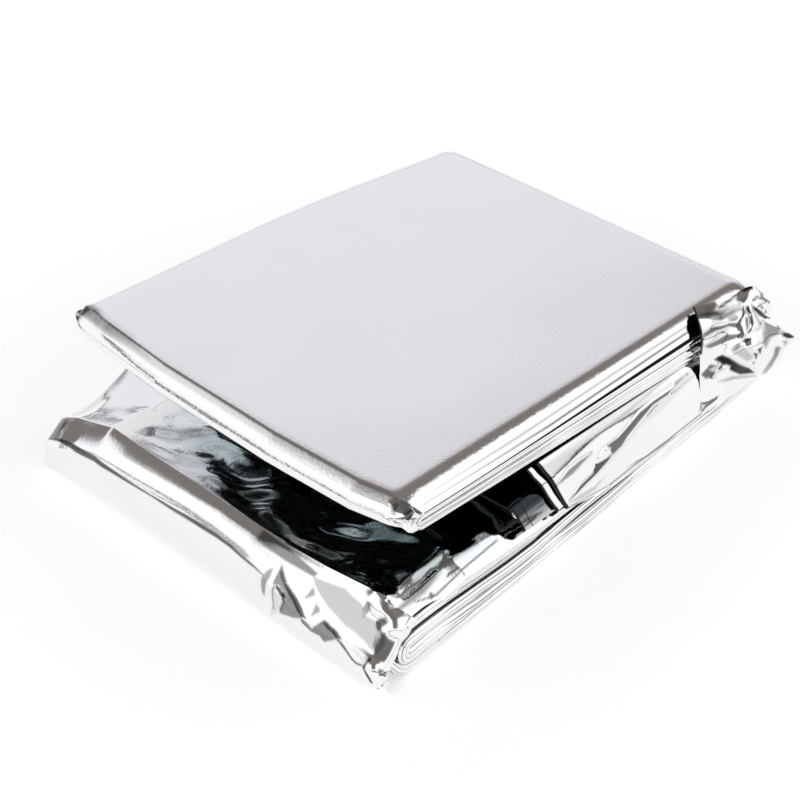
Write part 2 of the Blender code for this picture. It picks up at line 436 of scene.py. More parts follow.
def add_ply_gap_shade_lines(material):
    """Paints shade along fine lines between the ply edges, where the attribute round isn't near 0."""
    tree = material.node_tree
    base = tree.nodes["Principled BSDF"].inputs["Base Color"]
    lit = base.links[0].from_socket
    around = point_value(tree, "round")
    inputs = {"Vector": own_place(tree), **LINE_NOISE}
    noise = add_node(tree, "ShaderNodeTexNoise", inputs).outputs["Fac"]
    phase = maths(tree, "MULTIPLY_ADD", around, LINE_COUNT, maths(tree, "MULTIPLY", noise, LINE_DRIFT))
    limit = maths(tree, "MULTIPLY_ADD", noise, LINE_LIMIT_CHANGE, LINE_LIMIT)
    over = maths(tree, "SUBTRACT", maths(tree, "SINE", phase), limit)
    line = add_node(tree, "ShaderNodeMapRange", {"Value": over, "From Max": LINE_SHARPNESS}).outputs["Result"]
    on_edge = maths(tree, "GREATER_THAN", around, LINES_START)
    dark = maths(tree, "MULTIPLY", maths(tree, "MULTIPLY", line, on_edge), LINE_DARKNESS)
    tree.links.new(blended(tree, dark, lit, PLY_GAP_SHADE), base)


# ---------------------------------------------------------------- the bundle of plies

ACROSS_STEPS = 14
EDGE_STEPS = 7
EDGE_BULGE = 0.42
GROOVE = 0.14  # every second line round an edge stands back by this share
# The layers under the side cover stand back this far; it grows from the first y and height to the second
SIDE_TUCK, TUCK_Y, TUCK_Z = 1.3, (-24.0, -10.0), (6.0, 8.0)
# Where the painted shade in the gaps between plies ends and starts along y
CREVICE_END, CREVICE_START = 56.0, 52.0  # the gaps are dark inside and silver at the hinge folds
ROUND_START = 0.1


def ply_layers(material):
    """The strip from end to end: rounded bundles of plies with fine grooves along their edges."""
    y, z, thick, left, right = route().T
    along_y, along_z = np.gradient(y), np.gradient(z)
    length = np.hypot(along_y, along_z)
    out_y, out_z = -along_z / length, along_y / length
    right = right - SIDE_TUCK * fade(y, *TUCK_Y) * fade(z, *TUCK_Z) * (z < underside(y))
    half = thick / 2
    flat = np.linspace(0.0, 1.0, ACROSS_STEPS)
    angles = np.linspace(math.pi / 2, -math.pi / 2, EDGE_STEPS + 2)[1:-1]
    bulges = EDGE_BULGE * np.cos(angles) * (1.0 - GROOVE * (np.arange(EDGE_STEPS) % 2))
    edge = list(zip(bulges, np.sin(angles)))
    rings = [(mixed(left, right, share), half) for share in flat]
    rings += [(right + bulge * thick, half * up) for bulge, up in edge]
    rings += [(mixed(left, right, share), -half) for share in flat[::-1]]
    rings += [(left - bulge * thick, half * up) for bulge, up in edge[::-1]]
    lines = [np.stack([x, y + out_y * out, z + out_z * out], axis=-1) for x, out in rings]
    grid = settled(np.stack(lines, axis=1))
    rows, columns = grid.shape[:2]
    index = np.arange(rows * columns).reshape(rows, columns)
    wrapped = np.concatenate([index, index[:, :1]], axis=1)
    quads = np.stack([wrapped[:-1, :-1], wrapped[1:, :-1], wrapped[1:, 1:], wrapped[:-1, 1:]], axis=-1)
    step = np.arange(columns // 2 - 1)
    cap = np.stack([step, step + 1, columns - 2 - step, columns - 1 - step], axis=-1)
    faces = np.concatenate([quads.reshape(-1, 4)[:, ::-1], index[0][cap], index[-1][cap[:, ::-1]]]).tolist()
    coordinates = np.stack([grid[..., 0], run_length(grid)], axis=-1).reshape(-1, 2)
    # painted shade on the flat faces of the plies, which lie in the gaps between layers
    crevice_shade = np.tile([1.0] * ACROSS_STEPS + [0.0] * EDGE_STEPS, 2)
    around = np.tile(np.concatenate([flat * 0, np.linspace(ROUND_START, 1.0, EDGE_STEPS)]), 2)
    attributes = {
        "satin": np.zeros((rows, columns)),
        "deep": crevice_shade * fade(grid[..., 1], CREVICE_END, CREVICE_START),
        "round": np.broadcast_to(around, (rows, columns)),
    }
    return new_piece("ply_layers", grid.reshape(-1, 3), faces, coordinates, material, attributes)


# ---------------------------------------------------------------- outer foil of the upper leaf

LEAF_THICKNESS = 0.12
CREASE_X = (-47.0, -38.0, -20.0, 10.0, 30.0, 36.0, 40.0)
CREASE_Y = (-53.9, -55.0, -56.3, -56.3, -55.0, -53.6, -53.0)
TOP_RISE_HINGE, TOP_RISE_OPEN = 9.14, 5.95
# Rows of an edge, across the leaf: the distance inwards, how far the foil has dropped there on the leaf, and
# how far it has turned in round the open end
UPPER_LEFT_EDGE = (
    (1.2, 4.2, 3.4), (0.35, 3.7, 2.4), (0, 2.9, 1.5), (0.35, 1.8, 0.7), (1.3, 0.8, 0.25), (2.9, 0.22, 0),
    (5, 0, 0),
)
UPPER_RIGHT_EDGE = (
    (7.6, 0, 0), (6.7, 0.05, 0), (5.95, 0.24, 0.04), (5.2, 0.55, 0.15), (4.5, 0.93, 0.3), (3.8, 1.38, 0.52),
    (3.1, 1.88, 0.8), (2.5, 2.34, 1.15), (1.95, 2.78, 1.6), (1.5, 3.2, 2.2), (1.15, 3.6, 2.9),
    (1, 4.1, 3.7),
)
UPPER_LEFT_X, UPPER_RIGHT_X = -47.2, 43.6
UPPER_SPACING = (0.55, 0.40, 30.0)
UPPER_RIGHT_STEPS, LEFT_STEPS = 3, 3
# The first band below the top's front crease: near the left corner it lies flatter
FIRST_BAND_X = (-47.0, -38.0, -26.0, 30.0)
FIRST_BAND_DROP = (1.15, 1.35, 1.68, 1.74)
BAND_OUT, STEEP_OUT, STEEP_DROP = 2.3, 3.25, 3.45  # foot of the first band, and of the steep band below it
# y and height over the underside
HINGE_ROWS = ((56.6, 4.3), (58.8, 5.0), (59.7, 6.9), (58.9, 8.6), (56.6, 9.13))
TOP_ROWS, UNDER_ROWS, UNDER_POWER = 70, 34, 1.15
UNDER_END = (-6.0, 0.08)
# Share of an edge's drop that the rows take: by y on the top, then on the hinge, the wrap and the underside
TOP_SHARE_Y = (-56.0, -30.0, 0.0, 40.0)
TOP_SHARE = (0.74, 0.80, 0.86, 0.95)
HINGE_SHARE, WRAP_SHARE, UNDER_SHARE = 0.8, 0.72, 0.55
SHARE_BLUR = 7
UPPER_WAVE, UPPER_WAVE_ACROSS, UPPER_WAVE_ALONG = 0.05, 23.0, 31.0
UPPER_UNEVENNESS = 0.2
# Where the foil turns from satin to bright, along and across, and where painted shade turns it from bright
# to dark on the underside, in the gap
SATIN_ALONG, SATIN_ACROSS = (0.9, -0.3), (39.0, 36.4)
UNDER_DARK_ALONG, UNDER_DARK_ACROSS = (12.0, 46.0), (-44.0, -14.0)


def edge_columns(left_x, right_x, left_edge, right_edge, spacing, steps):
    """Columns across a leaf as x, drop and turn: its left edge, the flat between and its right edge. The
    flat's spacing is (on its left, on its right, the x between)."""
    left = smooth_rows(np.array(left_edge)[:, None, :], [LEFT_STEPS] * (len(left_edge) - 1))[:, 0]
    right = smooth_rows(np.array(right_edge)[:, None, :], [steps] * (len(right_edge) - 1))[:, 0]
    start, end = left_x + left_edge[-1][0], right_x - right_edge[0][0]
    wide, narrow, middle = spacing
    flat = np.concatenate([
        np.linspace(start, middle, int((middle - start) / wide) + 1)[1:],
        np.linspace(middle, end, int((end - middle) / narrow) + 1)[1:-1],
    ])
    x = np.concatenate([left_x + left[:, 0], flat, right_x - right[:, 0]])
    drop, turn = (np.concatenate([left[:, column], flat * 0, right[:, column]]) for column in (1, 2))
    return x, np.maximum(drop, 0.0), np.maximum(turn, 0.0)


def dropped(profile, drop, turn, share, end):
    """A profile of rows (y, z) per column, moved inwards by the column's drop times the row's share, or by
    its turn in the rows where end is 1."""
    along = np.gradient(profile, axis=0)
    length = np.maximum(np.hypot(along[..., 0], along[..., 1]), 1e-9)
    inward = np.stack([-along[..., 1], along[..., 0]], axis=-1) / length[..., None]
    depth = mixed(drop * share[:, None], turn, end[:, None])
    return profile + inward * depth[..., None]


def upper_leaf_foil(material):
    """The outermost ply of the upper leaf: hinge fold, top face, open end and the start of the underside."""
    x, drop, turn = edge_columns(
        UPPER_LEFT_X, UPPER_RIGHT_X, UPPER_LEFT_EDGE, UPPER_RIGHT_EDGE, UPPER_SPACING, UPPER_RIGHT_STEPS
    )
    band = np.interp(x, FIRST_BAND_X, FIRST_BAND_DROP)
    crease_y = np.interp(x, CREASE_X, CREASE_Y)
    top_rise = mixed(TOP_RISE_OPEN, TOP_RISE_HINGE, (crease_y - LEAF_OPEN_END) / LEAF_LENGTH)

    def row(y, rise):
        y = np.full_like(x, y)
        return np.stack([y, rise + underside(y)], axis=-1)

    def wrap(out, down):
        return np.stack([crease_y - out, top_rise - down + underside(crease_y)], axis=-1)

    crease, band_foot, steep_foot = wrap(0, 0), wrap(BAND_OUT, band), wrap(STEEP_OUT, STEEP_DROP)
    hinge = smooth_rows([row(y, rise) for y, rise in HINGE_ROWS], [4] * 4)
    top = np.array([mixed(hinge[-1], crease, share) for share in np.linspace(0, 1, TOP_ROWS)])
    first = smooth_rows(
        [crease, wrap(0.25, 0.03), wrap(0.6, 0.2), wrap(1.4, mixed(0.2, band, 0.46)), band_foot], [3, 3, 5, 6]
    )
    second = smooth_rows([band_foot, wrap(2.85, mixed(band, STEEP_DROP, 0.54)), steep_foot], [6, 6])
    third = smooth_rows(
        [steep_foot, wrap(2.95, 3.6), wrap(3.25, 3.85), wrap(3.3, 4.9), wrap(2.6, 5.7), wrap(1.0, 6.1)],
        [2, 3, 7, 5, 5],
    )
    shares = np.linspace(0, 1, UNDER_ROWS) ** UNDER_POWER
    under = np.array([mixed(third[-1], row(*UNDER_END), share) for share in shares])
    parts = (hinge, top, first, second, third, under)
    profile = joined_rows(*parts)
    # The first row past each part
    past_hinge, past_top, past_first, _, past_wrap, count = np.cumsum([len(part) - 1 for part in parts]) + 1
    share = np.interp(profile[:, 0, 0], TOP_SHARE_Y, TOP_SHARE)
    share[:past_hinge] = HINGE_SHARE
    share[past_top:past_wrap] = WRAP_SHARE
    share[past_wrap:] = UNDER_SHARE
    padded = np.pad(share, SHARE_BLUR // 2, mode="edge")
    share = np.convolve(padded, np.ones(SHARE_BLUR) / SHARE_BLUR, mode="valid")
    number = np.arange(count)
    end = np.interp(number, (past_top, past_first, past_wrap), (0.0, 0.55, 1.0)) * (number < past_wrap + 3)
    grid = settled(with_x(x, dropped(profile, drop, turn, share, end)), shoulder=False, wavy=UPPER_UNEVENNESS)
    along = run_length(grid) - run_length(grid)[past_top]
    across = np.broadcast_to(x, along.shape)
    lift, shade = facet_fields(across, along, UPPER_FACETS)
    wave = UPPER_WAVE * np.sin(across / UPPER_WAVE_ACROSS + along / UPPER_WAVE_ALONG)
    # the underside in the gap between the leaves carries painted gap shade
    return closed_sheet(
        "upper_leaf_foil", raised(grid, wave + lift), (across, along), LEAF_THICKNESS, material,
        satin=fade(along, *SATIN_ALONG) * fade(across, *SATIN_ACROSS),
        deep=fade(along, *UNDER_DARK_ALONG) * fade(across, *UNDER_DARK_ACROSS), shade=shade,
    )


# The shade of these facets is painted shade and reflection on the foil
# Facets by the corners of the open end: height, shade, softness, corners (across, along)
UPPER_FACETS = (
    # the first band below the front crease
    (0, 0.28, 0.7, ((-45, 0.4), (39.5, 0.4), (39.5, 1.7), (-20, 1.9), (-45, 2.2))),
    (0, 0.5, 0.9, ((-46, 0.1), (-31, 0.1), (-24, 1.2), (-45, 2.2))),
    (0.12, 0.72, 0.5, (
        (-46.8, -0.4), (-45.2, -1.1), (-39.7, -1), (-42.6, 0.2), (-45.5, 3.4), (-46.6, 2.4),
    )),
    (0.15, 0.35, 0.4, ((38.6, 0.5), (39.8, -0.7), (40.9, 1.2), (40.3, 2.4))),
    (0.1, 0.6, 0.3, ((37.5, 1.9), (38.7, 1), (39, 2.8), (38.3, 3.1))),
    (-0.1, 0.9, 0.3, ((40.2, 2.3), (40.8, 0.4), (41.2, -0.4), (41.2, 0.8), (40.7, 2.2))),
    (-0.1, 0.85, 0.3, ((40.9, 3), (41.6, 1), (42, 0.2), (41.9, 1.6), (41.3, 3.4))),
    (-0.1, 0.9, 0.3, ((41.9, 4.6), (42.2, 2.4), (42.6, 2.6), (42.4, 5))),
    (0, 0.92, 0.3, ((41.6, -1.5), (42.2, -1.6), (42.6, 3), (42.3, 3.2))),
    (0.4, 0, 0.6, ((41.4, 6.6), (42.4, 5.6), (42.2, 8))),
    # painted shade lines for long faint folds outside the shoulder, to the hinge
    (0, 0.48, 0.3, (
        (40.2, -3), (40.1, -30), (39.7, -60), (39.4, -104), (39.75, -104), (40.1, -60), (40.5, -30),
    )),
    (0, 0.85, 0.25, (
        (41.3, -3), (41.25, -40), (40.6, -80), (40.4, -106), (40.65, -106), (40.95, -80), (41.6, -40),
    )),
    (0, 0.3, 0.3, ((42.1, -6), (42, -50), (41.7, -90), (41.9, -90), (42.25, -50))),
)


# ---------------------------------------------------------------- outer foil of the lower leaf

LOWER_LEFT_EDGE = (
    (1.5, 3.6, 3), (0.5, 3, 2), (0, 2, 1.2), (0.3, 1, 0.6), (1.2, 0.35, 0.2), (2.8, 0.08, 0), (5, 0, 0),
)
LOWER_RIGHT_EDGE = (
    (9.5, 0, 0), (7.6, 0.15, 0), (5.8, 0.55, 0.05), (4.2, 1.2, 0.15), (2.8, 2, 0.4), (1.6, 2.8, 0.9),
    (0.7, 3.5, 1.5), (0.35, 4.1, 2.2), (0.3, 4.6, 2.9), (0.5, 4.8, 3.5),
)
LOWER_LEFT_X, LOWER_RIGHT_X = -47.6, 47.4
LOWER_SPACING = (0.70, 0.32, 13.0)
LOWER_RIGHT_STEPS = 5
# Stations across the lower leaf's open end: x, the ridge, and two places below it: where the foil turns
# steep, and the crease
END_COLUMNS = ("x", "ridge_y", "ridge_z", "turn_y", "turn_z", "crease_y", "crease_z")
END_STATIONS = (
    (-47.2, -63.8, 12.0, -66.8, 9.8, -69.4, 7.3),
    (-41.5, -63.6, 14.8, -66.6, 13.0, -69.5, 10.4),
    (-37.0, -63.6, 16.3, -67.2, 14.6, -69.4, 12.0),
    (-30.0, -63.6, 18.6, -67.2, 16.1, -69.2, 13.2),
    (-24.0, -63.6, 18.5, -66.9, 16.7, -69.0, 13.8),
    (-17.0, -63.6, 18.4, -66.6, 16.8, -68.7, 13.9),
    (-5.0, -63.6, 18.5, -66.0, 17.3, -68.1, 14.6),
    (4.0, -63.6, 18.4, -65.6, 17.4, -68.0, 14.4),
    (12.0, -63.4, 17.8, -65.4, 16.8, -68.2, 13.2),
    (20.0, -63.0, 17.3, -65.2, 15.2, -69.0, 11.2),
    (28.0, -62.4, 17.2, -64.9, 14.2, -69.4, 9.4),
    (38.0, -61.6, 17.8, -64.7, 14.0, -69.4, 8.9),
    (47.0, -61.0, 16.6, -64.8, 12.3, -69.4, 7.4),
)
# Height of the leaf's top over the strip's own layers, before settling, at its open end and at its hinge end
LOWER_TOP_Y, LOWER_TOP_Z = (-62.4, 55.4), (16.05, 9.9)
LOWER_BACK_Y = (-8.0, -20.0, -32.0, -44.0)
# How far down the foil is half way from the turn to the crease, by x: it is flatter towards the left
BOW_X, BOW_SHARE = (12.0, 24.0), (0.46, 0.64)
NOTCH_OUT, NOTCH_DOWN = 0.25, 0.9
FLOOR_GAP = 0.04
LOWER_SHARE = 0.9
FOOT_ROWS = 6  # the last rows, flat on the surface
# Where the ripples, the satin ridge and the painted shade inside the gap start and end, along or across
CALM_ALONG, RIPPLES_LEFT, RIPPLES_RIGHT = (-0.8, -3.8), (-37.0, -7.0), (43.0, 37.0)
RIDGE_SATIN, RIDGE_START, RIDGE_END = 0.2, (-2.0, 0.0), (9.0, 6.0)
INSIDE_NEAR, INSIDE_FAR, INSIDE_LEFT, INSIDE_RIGHT = (-1.2, -3.6), (-8.0, -20.0), (-30.0, -14.0), (46.0, 40.0)


def lower_leaf_foil(material):
    """The outermost ply of the lower leaf: its top from under the tongue, the ridge and the open end."""
    x, drop, turn = edge_columns(
        LOWER_LEFT_X, LOWER_RIGHT_X, LOWER_LEFT_EDGE, LOWER_RIGHT_EDGE, LOWER_SPACING, LOWER_RIGHT_STEPS
    )
    stations = dict(zip(END_COLUMNS, np.array(END_STATIONS).T))
    ridge_y, ridge, turn_y, turn_z, crease_y, crease_z = (
        np.interp(x, stations["x"], stations[column]) for column in END_COLUMNS[1:]
    )
    bow = np.interp(x, BOW_X, BOW_SHARE)

    def top_row(y):
        y = np.full_like(x, y)
        top = mixed(*LOWER_TOP_Z, (y - LOWER_TOP_Y[0]) / (LOWER_TOP_Y[1] - LOWER_TOP_Y[0]))
        return settled(np.stack([x, y, top], axis=-1))[:, 1:]

    def end_row(y, z):
        return np.stack([y + 0 * x, z + 0 * x], axis=-1)

    ridge_row, crease = end_row(ridge_y, ridge), end_row(crease_y, crease_z)
    notched = end_row(crease_y - NOTCH_OUT, crease_z - NOTCH_DOWN)
    back = smooth_rows([top_row(y) for y in LOWER_BACK_Y], [10, 12, 12])
    front = smooth_rows([back[-1], end_row(ridge_y + 7.6, ridge - 0.55), ridge_row], [24, 20])
    slant = smooth_rows(
        [
            ridge_row, end_row(mixed(ridge_y, turn_y, 0.45), mixed(ridge, turn_z, 0.36)),
            end_row(turn_y, turn_z), end_row(mixed(turn_y, crease_y, 0.6), mixed(turn_z, crease_z, bow)),
            crease,
        ],
        [11, 13, 12, 12],
    )
    notch = smooth_rows([crease, notched], [4])
    face = smooth_rows(
        [notched, end_row(-69.7, crease_z * 0.62), end_row(-69.9, crease_z * 0.34), end_row(-69.2, 1.5),
         end_row(-67.6, 0.12), end_row(-66.2, 0.06)], [15, 13, 10, 6, 5]
    )
    profile = joined_rows(back, front, slant, notch, face)
    ridge_at = len(back) + len(front) - 2
    crease_at = ridge_at + len(slant) - 1
    foot = len(profile) - FOOT_ROWS
    share = np.full(len(profile), LOWER_SHARE)
    share[foot:] = 0.0
    end = np.interp(
        np.arange(len(profile)), (ridge_at - 4, crease_at - 8, foot, len(profile) - 1), (0.0, 1.0, 1.0, 0.0)
    )
    grid = with_x(x, dropped(profile, drop, turn, share, end))
    along = run_length(grid) - run_length(grid)[ridge_at]
    across = np.broadcast_to(x, along.shape)
    liquid = fade(across, *RIPPLES_LEFT) * np.maximum(fade(across, *RIPPLES_RIGHT), 0.05)
    ripples = fade(along, *CALM_ALONG) * liquid * swirl_field(across, along, SWIRLS)
    lift, shade = facet_fields(across, along, LOWER_FACETS)
    grid = raised(grid, ripples + lift + fold_field(across, along, LOWER_FOLDS))
    grid[..., 2] = np.maximum(grid[..., 2], FLOOR_GAP)
    # painted shade inside the gap between the leaves, darker further in
    inside = (fade(along, *INSIDE_NEAR) + fade(along, *INSIDE_FAR)) / 2
    return closed_sheet(
        "lower_leaf_foil", grid, (across, along), LEAF_THICKNESS, material,
        satin=RIDGE_SATIN * fade(along, *RIDGE_START) * fade(along, *RIDGE_END),
        deep=inside * fade(across, *INSIDE_LEFT) * np.maximum(fade(across, *INSIDE_RIGHT), 0.2), shade=shade,
    )


# Streaks of the ripples: wavelength, direction, bend, the bend's length, height
SWIRLS = (
    (9.0, 74.0, 1.9, 23.0, 0.26),
    (5.6, 63.0, 1.0, 14.0, 0.09),
    (14.0, 108.0, 2.6, 31.0, 0.38),
)
# The shade of these facets is painted shade and reflection on the foil
# Facets round the open end: height, shade, softness, corners (across, along)
LOWER_FACETS = (
    # the band below the ridge, where it narrows towards the right corner
    (0, 0.72, 0.5, ((13, 0.2), (20, 0.5), (27.3, 1.9), (26.9, 2.9), (20, 2.9), (13, 2.6))),
    # painted shade along the crease line at the open end
    (0, 0.88, 0.3, (
        (-48.5, 4.5), (-42, 5.4), (-38, 5.6), (-34.4, 6.2), (-28.1, 7), (-20.9, 7.1), (-13.7, 7),
        (-6.8, 6.7), (0.1, 6.1), (4.2, 6), (8.3, 6.2), (11.6, 6.7), (15.1, 6.9), (18.7, 7.6), (18.7, 7.8),
        (15.1, 7.3), (11.6, 7.3), (8.3, 6.9), (4.2, 7), (0.1, 7.2), (-6.8, 7.5), (-13.7, 7.4), (-20.9, 7.8),
        (-28.1, 8.1), (-34.4, 7.5), (-42, 6), (-48.5, 5.2),
    )),
    # the left corner and edge
    (0, 0.8, 0.5, ((-48.5, 0.2), (-44.3, 0), (-43.2, 5.2), (-48.5, 5))),
    (0, 0.22, 1.5, ((-48.5, -1), (-42.4, -1.5), (-43.2, -8.3), (-44, -12), (-45.5, -20), (-48.5, -20))),
    # the curl
    (0.15, 0.7, 0.3, (
        (19.9, 4.4), (22.4, 6.7), (25.7, 8.4), (28.6, 10.6), (26.4, 11.9), (22.6, 13.1), (23.6, 9.9),
        (22.9, 8.1), (21.3, 7.4), (20, 7.8),
    )),
    (-0.1, 0.62, 0.3, (
        (18.7, 5), (17.6, 6.6), (17.2, 8.6), (17.7, 10.8), (18.6, 11.7), (18.6, 10.3), (18.6, 8.8),
        (18.9, 7),
    )),
    (0.25, 0.18, 0.3, (
        (20.5, 7.7), (22.1, 8), (23.2, 9.1), (22.8, 12), (21.6, 14.1), (20.2, 15.3), (21, 12.2), (20.6, 10),
    )),
    (0, 0.6, 0.3, (
        (20.2, 7.8), (20.7, 7.8), (21.3, 10.2), (21.5, 12.4), (20.8, 13.5), (20.9, 12), (20.5, 10),
    )),
    (0, 0.95, 0.3, ((22.9, 8), (23.9, 9.8), (23.2, 12.2), (22.8, 12), (23.4, 9.9), (22.6, 8.4))),
    # two small triangles
    (0.12, 0.6, 0.25, ((27.7, 4.4), (28.7, 5.8), (26.9, 7.6))),
    (0.12, 0.6, 0.25, ((29.7, 7), (31.2, 8.1), (29.9, 9.8))),
    # the arrow of painted shade and the line after it
    (0.15, 0.74, 0.3, (
        (28.3, 10.6), (30, 11.1), (31.2, 11.7), (32.5, 9.4), (33.3, 9.4), (34.5, 9.9), (35.7, 10.1),
        (37.3, 11), (35.1, 12.5), (34.2, 13.3), (33.2, 12.3), (30.9, 12.6), (28.4, 11.6),
    )),
    (0, 0.9, 0.3, (
        (37, 11), (39.3, 11.6), (42.1, 12.8), (43.5, 12.6), (43.5, 13), (42, 13.3), (39.2, 12.1),
        (36.9, 11.4),
    )),
    # the broad facet by the right corner
    (0.12, 0.42, 0.4, (
        (26.8, 2.8), (29.3, 2.6), (33.9, 2.1), (36.1, 2.8), (38.5, 3.3), (39.5, 4.7), (41.8, 4.2),
        (42.7, 5.1), (44.4, 5.9), (45.3, 7.9), (44.7, 10), (41.7, 8.5), (39.3, 8.3), (37.5, 8.4),
        (35.5, 7.7), (32, 6.5), (29.7, 5.3), (27.5, 3.9),
    )),
    # painted shade of long folds along the right shoulder, some with slight relief
    (0, 0.4, 0.8, ((41, -4), (42.6, -9), (43.4, -15), (43.4, -24), (42.2, -25), (41.6, -20), (41.5, -12))),
    (0.06, 0.72, 0.5, (
        (40.6, -2.8), (41.3, -12.2), (41.3, -20.9), (42.6, -28.8), (42.2, -28.8), (40.7, -20.9),
        (40.5, -12.2), (40.2, -3.2),
    )),
    (0.08, 0.66, 0.6, ((43.9, -0.3), (42.9, -8.6), (43.6, -13.3), (44.5, -7.4), (44.5, -0.3))),
    (0, 0.86, 0.2, (
        (44.5, -4.3), (45.6, -9.3), (45.3, -15.9), (44.5, -25.6), (44.3, -28.3), (44.6, -28.3),
        (44.8, -25.6), (45.6, -15.9), (45.9, -9.3), (44.7, -4.3),
    )),
    # hollows beside the knobs
    (-0.15, 0.9, 0.3, ((38.4, -1), (39.7, -3), (39.9, -1.6), (39.2, 0.3), (38.7, 1))),
    (-0.15, 0.65, 0.3, ((38.9, 2.3), (39.9, 2.2), (40.3, 3.3), (39.6, 4.9), (38.8, 3.4))),
    (-0.15, 0.85, 0.3, ((42.1, 3.9), (43.3, 2.8), (43.9, 4.1), (43.3, 5.1))),
    # the tip of the right corner
    (0, 0.95, 0.25, (
        (44.5, 10.8), (44.1, 13.2), (44.8, 14.4), (45.7, 16.2), (45.3, 16.3), (44.3, 14.8), (43.6, 13.2),
        (44, 10.9),
    )),
    (0.1, 0.7, 0.25, ((46.2, 12), (46.9, 12.4), (46.9, 13.8), (46.2, 13.4))),
    (0, 0.97, 0.25, ((46.6, 13.2), (47.2, 13.2), (47.2, 15), (46.6, 14.6))),
)
# Soft folds and knobs by the right corner and along its shoulder: start, end, height, width
LOWER_FOLDS = (
    (41.4, -0.6, 42.0, 1.5, 0.70, 1.8),
    (44.7, 2.8, 45.3, 4.2, 0.55, 1.5),
    (45.2, 12.0, 45.4, 12.6, 0.50, 1.0),
    (40.6, -5.0, 39.8, -27.0, 0.12, 1.5),
    (42.6, -3.4, 41.9, -16.0, -0.10, 1.1),
    (44.0, -3.0, 43.4, -12.0, 0.20, 1.0),
    (43.0, -17.0, 43.6, -31.0, 0.16, 1.0),
    (45.4, -9.0, 45.1, -30.0, 0.14, 0.8),
)


# ---------------------------------------------------------------- foil over the right side

SIDE_THICKNESS = 0.10
# Height of the side cover's lower edge along the packet
COVER_EDGE_Y = (-16.3, -8.6, -0.7, 8.6, 20.5, 33.0, 43.7, 52.0)
COVER_EDGE_Z = (12.1, 9.8, 7.9, 7.6, 6.9, 6.5, 4.9, 4.0)
COVER_STEPS = (4, 6, 5, 6, 18, 18, 14, 4, 3)
TONGUE_STEPS = (8, 10, 6, 6, 7, 6, 3, 3)
SIDE_ROW = 0.26  # distance between rows along the packet
SLANT_POWER = 1.3
RING_SOFTNESS = 0.15
SHADE_WIDTH = 2.6


def section_of(keys, y):
    """A section at each y from its keys (x, z), either of them a number or a value for each y."""
    return np.array([np.stack([x + 0 * y, z + 0 * y], axis=-1) for x, z in keys])


def cover_section(y, inset=0.0):
    """The side cover's section at each y, as rows of (x, z): a level strip, a shoulder, a hanging side."""
    top = 20.65 - 0.104 * (y - 0.8) - inset
    edge = np.interp(y, COVER_EDGE_Y, COVER_EDGE_Z) + inset
    return section_of((
        (34.0 + inset, top + 0.1), (39.0, top + 0.1), (42.1 - inset, top), (43.2 - inset, top - 0.45),
        (44.1 - inset, top - 1.5), (45.5 - inset, mixed(top, edge, 0.35)),
        (47.0 - inset, mixed(top, edge, 0.70)), (48.1 - inset, edge + 0.6), (48.25 - inset, edge),
        (47.4 - inset, edge - 0.25),
    ), y)


def tongue_section(y, inset=0.0):
    """Section of the lower pair of tongue layers at each y, as cover_section gives it."""
    top = 18.35 - 0.05 * (y + 28.0) - inset
    edge = 13.3 - 0.10 * (y + 28.0) + inset
    return section_of((
        (8.0, top + 0.3), (30.0, top + 0.25), (40.2, top), (43.2 - inset, top - 0.2),
        (45.0 - inset, top - 1.2), (46.0 - inset, mixed(top, edge, 0.60)), (46.9 - inset, edge + 0.5),
        (46.9 - inset, edge), (46.2 - inset, edge - 0.2),
    ), y)


def side_sheet(name, section, steps, start, end, material, inset=0.0, facets=(), rings=(), shade=None):
    """A sheet over the side. It starts and ends on slanting lines, each (y at the top, y at the lower edge).
    It has painted shade on the rings, each (distance from its start, half width), and painted gap shade
    inwards of the x shade."""
    columns = sum(steps) + 1
    rows = int(abs(end[0] - start[0]) / SIDE_ROW) + 2
    slant = np.linspace(0.0, 1.0, columns) ** SLANT_POWER
    own = np.arange(columns)
    grid = np.empty((rows, columns, 3))
    for index, share in enumerate(np.linspace(1.0, 0.0, rows)):
        y = mixed(mixed(*start, slant), mixed(*end, slant), share)
        x, z = smooth_rows(section(y, inset), steps)[own, own].T
        grid[index] = np.stack([x, y, z], axis=-1)
    down = run_length(grid.transpose(1, 0, 2)).T
    along = grid[..., 1]
    lift, shadow = facet_fields(along, down, facets)
    grid = raised(grid, lift)
    past = along - mixed(*start, slant)
    # painted shade in a line across the sheet at each ring
    for at, width in rings:
        shadow = np.maximum(shadow, np.clip((width - abs(past - at)) / RING_SOFTNESS, 0.0, 1.0))
    # painted gap shade inwards of the x shade
    deep = 0.0 * past if shade is None else fade(grid[..., 0], shade, shade - SHADE_WIDTH)
    return closed_sheet(
        name, grid, (down, along), SIDE_THICKNESS, material, satin=down * 0, deep=deep, shade=shadow
    )


